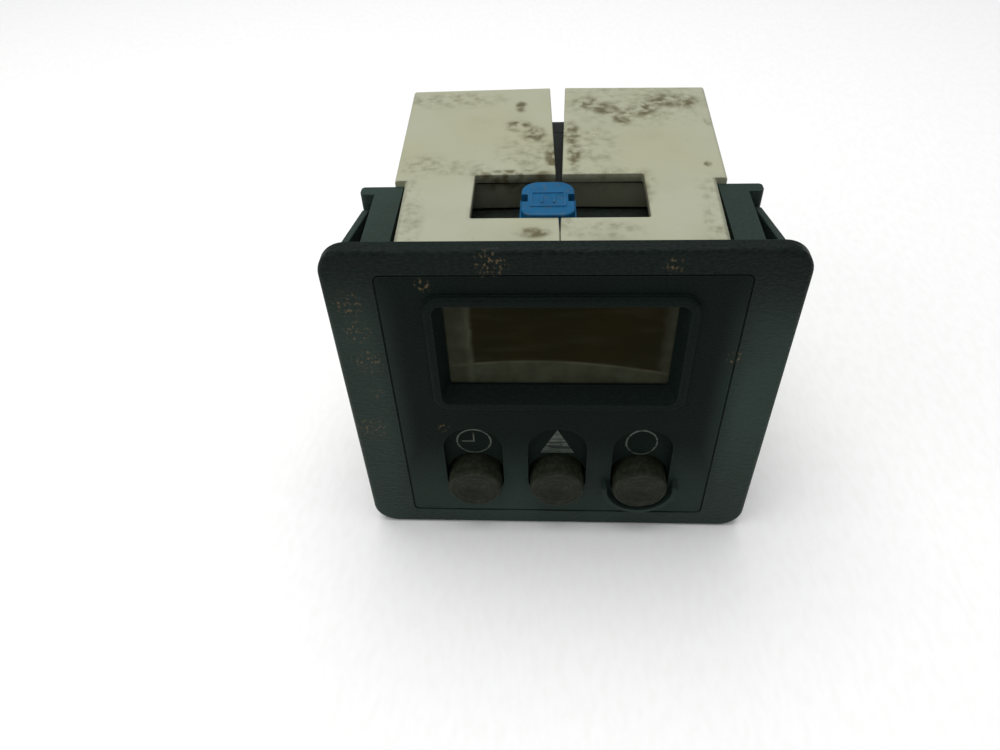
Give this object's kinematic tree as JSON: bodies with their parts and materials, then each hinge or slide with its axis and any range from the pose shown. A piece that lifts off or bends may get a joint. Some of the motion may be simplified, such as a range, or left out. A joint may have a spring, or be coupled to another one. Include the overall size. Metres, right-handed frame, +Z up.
{
  "type": "panel-mount digital timer",
  "caption": "Small snap-in panel timer: black grained bezel with recessed display and round keys, two-part cream housing splayed open at the back, blue pull-out plug on top.",
  "frame": {"origin": "centre of the panel cut-out, on the bezel's back face, where the panel seats", "axes": "+X to the right seen from the front, +Y from the front through the panel to the back, +Z up"},
  "size_m": [0.072, 0.0752, 0.0654],
  "materials": {
    "black_bezel_plastic": "grained",
    "black_plate_plastic": "fine matte",
    "tinted_lens": "clear, smoked",
    "display_cell": "dark",
    "black_inner_plastic": "smooth",
    "grey_elastomer": "striped",
    "circuit_board": "solder mask",
    "zinc_screw": "zinc plated",
    "chip_epoxy": "moulded epoxy",
    "tinned_steel": "drawn can",
    "cream_housing_plastic": "satin, soiled",
    "blue_plug_plastic": "satin",
    "tinned_brass": "tinned",
    "lamination_steel": "laminated",
    "winding_tape": "taped",
    "relay_plastic": "satin",
    "capacitor_sleeve": "shrink sleeve",
    "varistor_coating": "dipped",
    "switch_plunger_plastic": "smooth",
    "grey_key_rubber": "worn"
  },
  "bodies": {
    "housing": {"bezel": "black_bezel_plastic", "front_plate": "black_plate_plastic", "key_guard": "black_plate_plastic", "display_lens": "tinted_lens", "display_glass": "display_cell", "display_holder": "black_inner_plastic", "contact_strips": "grey_elastomer", "display_board": "circuit_board", "board_screws": "zinc_screw", "controller_chip": "chip_epoxy", "crystal_can": "tinned_steel", "sounder": "black_inner_plastic", "left_shell": "cream_housing_plastic", "right_shell": "cream_housing_plastic", "inner_cover": "black_inner_plastic", "link_header": "black_inner_plastic", "link_pins": "tinned_brass", "riser_board": "circuit_board", "power_board": "circuit_board", "link_bar": "black_inner_plastic", "board_link_pins": "tinned_brass", "transformer_core": "lamination_steel", "transformer_coil": "winding_tape", "relay": "relay_plastic", "capacitors": "capacitor_sleeve", "backup_capacitor": "capacitor_sleeve", "varistor": "varistor_coating", "rectifier_diodes": "chip_epoxy", "terminal_block": "black_inner_plastic", "terminal_blades": "tinned_brass", "left_switch_body": "black_inner_plastic", "middle_switch_body": "black_inner_plastic", "right_switch_body": "black_inner_plastic"},
    "left_clip": {"left_clip_leaf": "black_bezel_plastic"},
    "right_clip": {"right_clip_leaf": "black_bezel_plastic"},
    "link_plug": {"link_plug": "blue_plug_plastic"},
    "left_key": {"left_key": "grey_key_rubber", "left_switch_plunger": "switch_plunger_plastic"},
    "middle_key": {"middle_key": "grey_key_rubber", "middle_switch_plunger": "switch_plunger_plastic"},
    "right_key": {"right_key": "grey_key_rubber", "right_switch_plunger": "switch_plunger_plastic"}
  },
  "joints": [
    {"name": "left_key_press", "type": "slide", "parent": "housing", "child": "left_key", "axis": [0, 1, 0], "range_m": [0, 0.0008], "stiffness_N_per_m": 1500, "springref_m": -0.0003},
    {"name": "middle_key_press", "type": "slide", "parent": "housing", "child": "middle_key", "axis": [0, 1, 0], "range_m": [0, 0.0008], "stiffness_N_per_m": 1500, "springref_m": -0.0003},
    {"name": "right_key_press", "type": "slide", "parent": "housing", "child": "right_key", "axis": [0, 1, 0], "range_m": [0, 0.0008], "stiffness_N_per_m": 1500, "springref_m": -0.0003},
    {"name": "left_clip_flex", "type": "hinge", "parent": "housing", "child": "left_clip", "pos_m": [-0.0339, 0.02335, 0], "axis": [0, 0, 1], "range_deg": [0, 4.5], "stiffness_Nm_per_rad": 2.5},
    {"name": "right_clip_flex", "type": "hinge", "parent": "housing", "child": "right_clip", "pos_m": [0.0339, 0.02335, 0], "axis": [0, 0, -1], "range_deg": [0, 4.5], "stiffness_Nm_per_rad": 2.5},
    {"name": "link_plug_pull", "type": "slide", "parent": "housing", "child": "link_plug", "axis": [0, 0, 1], "range_m": [0, 0.012]}
  ]
}
